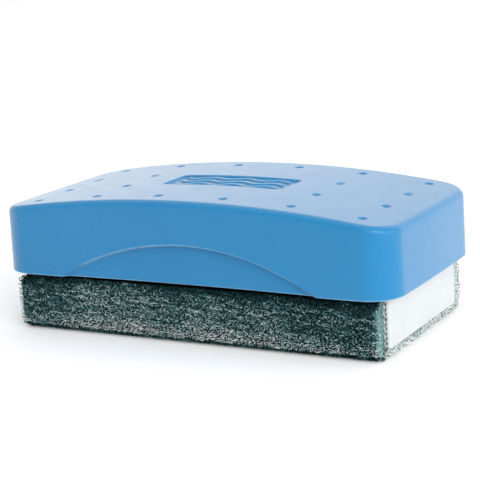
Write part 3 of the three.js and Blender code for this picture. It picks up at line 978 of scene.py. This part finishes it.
def build_tapes():
    weave = nylon_material("hook_tape_weave", rgb(0.55, 0.55, 0.52), rgb(0.78, 0.78, 0.75))
    nylon = nylon_material("hook_nylon", rgb(0.70, 0.70, 0.67), rgb(0.85, 0.85, 0.82))
    tapes = [("hook_tape_bottom", 2, -1), ("hook_tape_front", 1, -1), ("hook_tape_rear", 1, 1)]
    for node, thin, outward in tapes:
        low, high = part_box(node)
        strip = tape_sheet(node.replace("hook_tape", "tape_strip"), low, high, thin, outward)
        across = 1 if thin == 2 else 2
        spots = []
        for x in np.arange(low.x + HOOK_PITCH, high.x - HOOK_PITCH / 2, HOOK_PITCH):
            for v in np.arange(low[across] + HOOK_PITCH / 2, high[across] - HOOK_PITCH / 4, HOOK_PITCH):
                p = Vector((x, 0, 0))
                p[across] = v
                p[thin] = low[thin] + WEAVE if outward > 0 else high[thin] - WEAVE
                spots.append(p)
        normal = [0, 0, 0]
        normal[thin] = outward
        field = hooks(node.replace("hook_tape", "tape_hooks"), spots, normal, (1, 0, 0))
        finish_piece(strip, "main", weave, [node])
        finish_piece(field, "main", nylon)


def build_foam():
    foam = rubber_material("closed_cell_foam", rgb(0.05, 0.055, 0.06), rgb(0.11, 0.115, 0.12), 1400)
    for side in ("left", "right"):
        node = f"foam_spacer_{side}"
        low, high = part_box(node)
        size = high - low
        grid = [max(3, round(s / (1.6 * MM))) for s in size]
        points, faces, seen = [], [], {}

        def corner(i, j, k):
            key = (i, j, k)
            if key not in seen:
                seen[key] = len(points)
                t = Vector((i / grid[0], j / grid[1], k / grid[2]))
                p = Vector(low[a] + size[a] * t[a] for a in range(3))
                wobble = Vector(rng.uniform(-0.12, 0.12, 3)) * MM
                centre = (low + high) / 2
                p = centre + (p - centre) * 0.985 + wobble
                points.append(p)
            return seen[key]

        for axis in range(3):
            a, b = [v for v in range(3) if v != axis]
            for level in (0, grid[axis]):
                for i in range(grid[a]):
                    for j in range(grid[b]):
                        q = []
                        for di, dj in ((0, 0), (1, 0), (1, 1), (0, 1)):
                            place = [0, 0, 0]
                            place[axis], place[a], place[b] = level, i + di, j + dj
                            q.append(corner(*place))
                        outward = (level > 0) == (axis != 1)
                        faces.append(tuple(q if outward else q[::-1]))
        piece = new_mesh(f"foam_block_{side}", points, faces)
        finish_piece(piece, "main", foam, [node])


def show_cad(node, material):
    """A CAD node that stays: its corners merged, its faces flat, with its own material."""
    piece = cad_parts[node]
    weld = piece.modifiers.new("weld", "WELD")
    weld.merge_threshold = 1e-6
    piece.data.polygons.foreach_set("use_smooth", [False] * len(piece.data.polygons))
    piece.data.materials.clear()
    piece.data.materials.append(material)


def dress_cad():
    steel = metal_material("stainless", rgb(0.55, 0.55, 0.56), rgb(0.72, 0.72, 0.72), 0.28, (1, 1, 1))
    zinc = metal_material("zinc_plate", rgb(0.45, 0.47, 0.49), rgb(0.62, 0.64, 0.65), 0.38, (1, 6, 1))
    ferrite = ferrite_material()
    rubber = rubber_material("gasket_rubber", rgb(0.015, 0.015, 0.017), rgb(0.03, 0.03, 0.032), 600)
    white = tray_material()
    finishes = {"magnet_tray": white, "yoke_plate": zinc, "gasket": rubber}
    finishes.update({f"magnet_{k}": ferrite for k in range(1, 7)})
    finishes.update({f"cover_screw_{k}": steel for k in range(1, 5)})
    for node, material in finishes.items():
        show_cad(node, material)


# ------------------------------------------------------------------ camera, light and floor


CAMERA_AZIMUTH = math.radians(29.26)
CAMERA_ELEVATION = math.radians(12.92)
CAMERA_ROLL = math.radians(3.39)
CAMERA_DISTANCE = 401.7 * MM
AIM_RIGHT = 1.36 * MM  # the point looked at, to the right of the origin
AIM_HEIGHT = 21.1 * MM


def add_camera():
    azimuth, elevation, roll = CAMERA_AZIMUTH, CAMERA_ELEVATION, CAMERA_ROLL
    back = Vector((
        math.sin(azimuth) * math.cos(elevation),
        -math.cos(azimuth) * math.cos(elevation),
        math.sin(elevation),
    ))
    right = Vector((math.cos(azimuth), math.sin(azimuth), 0))
    up = back.cross(right)
    aim = right * AIM_RIGHT + Vector((0, 0, AIM_HEIGHT))
    turned_right = right * math.cos(roll) - up * math.sin(roll)
    turned_up = right * math.sin(roll) + up * math.cos(roll)
    data = bpy.data.cameras.new("camera")
    data.sensor_width = 36
    data.lens = 112.5
    data.clip_start = 0.01
    camera = bpy.data.objects.new("camera", data)
    place = Matrix((turned_right, turned_up, back)).transposed().to_4x4()
    place.translation = aim + back * CAMERA_DISTANCE
    camera.matrix_world = place
    bpy.context.scene.collection.objects.link(camera)
    bpy.context.scene.camera = camera


def add_panel(name, place, aim, size, brightness):
    """A soft panel light; brightness is its radiance, and the floor and world count in the same unit."""
    data = bpy.data.lights.new(name, "AREA")
    data.shape = "RECTANGLE"
    data.size, data.size_y = size
    data.energy = brightness * math.pi * size[0] * size[1]
    lamp = bpy.data.objects.new(name, data)
    direction = Vector(aim) - Vector(place)
    turn = direction.to_track_quat("-Z", "Y").to_matrix().to_4x4()
    lamp.matrix_world = Matrix.Translation(place) @ turn
    bpy.context.scene.collection.objects.link(lamp)


def add_stage():
    floor = new_mesh("floor", [(-3, -3, 0), (3, -3, 0), (3, 3, 0), (-3, 3, 0)], [(0, 1, 2, 3)])
    n = Nodes("floor_white")
    tone = n.spread(n.noise(3, 2), 0.3, 0.7)
    n.link(n.mix(tone, rgb(0.93, 0.93, 0.935), rgb(0.95, 0.95, 0.95)), n.shader.inputs["Base Color"])
    n.shader.inputs["Roughness"].default_value = 0.9
    n.shader.inputs["Specular IOR Level"].default_value = 0.1
    floor.data.materials.append(n.material)
    world = bpy.data.worlds.new("studio")
    bpy.context.scene.world = world
    world.use_nodes = True
    world.node_tree.nodes["Background"].inputs["Color"].default_value = rgb(1, 1, 1)
    world.node_tree.nodes["Background"].inputs["Strength"].default_value = 0.6
    bpy.context.scene.view_settings.view_transform = "Standard"
    add_panel("overhead", (0.0, 0.3, 1.5), (0, 0.3, 0), (2.6, 2.6), 0.65)
    add_panel("back_wall", (-0.3, 1.5, 0.65), (-0.3, 0, 0.65), (3.0, 1.3), 0.6)
    add_panel("right_softbox", (0.75, -0.1, 0.28), (0, -0.1, 0.28), (0.7, 0.5), 2.2)
    add_panel("front_fill", (0.9, -1.1, 0.65), (0, 0, 0), (1.8, 1.2), 1.5)
    add_panel("front_key", (0.9, -0.9, 0.7), (0, 0, 0), (0.35, 0.35), 10)


# ------------------------------------------------------------------ the scene

add_camera()
add_stage()
dress_cad()
build_cover(cover_material())
build_fleece()
build_tapes()
build_foam()
